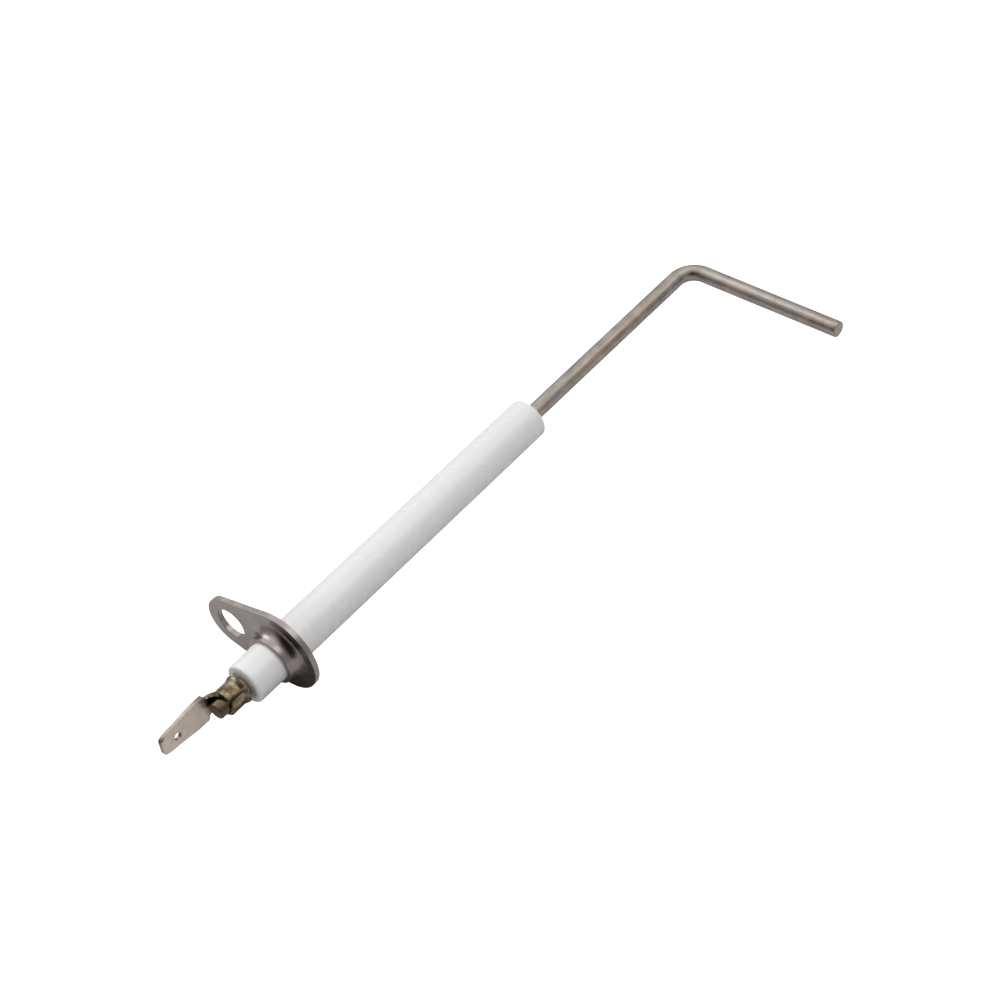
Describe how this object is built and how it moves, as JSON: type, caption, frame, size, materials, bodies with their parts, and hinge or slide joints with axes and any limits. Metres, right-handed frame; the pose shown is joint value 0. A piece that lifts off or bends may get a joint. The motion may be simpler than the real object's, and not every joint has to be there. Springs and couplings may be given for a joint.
{
  "type": "ignition electrode",
  "caption": "Burner ignition electrode: bent steel rod in a white ceramic tube, with a teardrop screw-on flange and a crimped push-on tab.",
  "frame": {"origin": "on the ceramic tube's axis, in the plane of the flange's front face, which seats on the burner", "axes": "+X along the tube towards the sparking end, +Y from the axis to the flange's screw hole (the bent leg points to -Y), +Z square to both; the part is symmetric about the plane Z = 0 apart from the terminal's seam and tab hole"},
  "size_m": [0.1455, 0.052, 0.0162],
  "materials": {
    "glazed_ceramic": "soft gloss white glaze",
    "rod_steel": "drawn heat-resistant steel wire, satin, warm grey",
    "flange_steel": "stamped bright steel sheet, satin",
    "terminal_metal": "thinly plated brass, dull, brass tone in the crimp",
    "cement": "matt off-white refractory cement"
  },
  "bodies": {
    "root": {"ceramic_insulator": "glazed_ceramic", "electrode_rod": "rod_steel", "mounting_flange": "flange_steel", "tab_terminal": "terminal_metal", "front_cement_seal": "cement", "rear_cement_seal": "cement"}
  },
  "joints": []
}
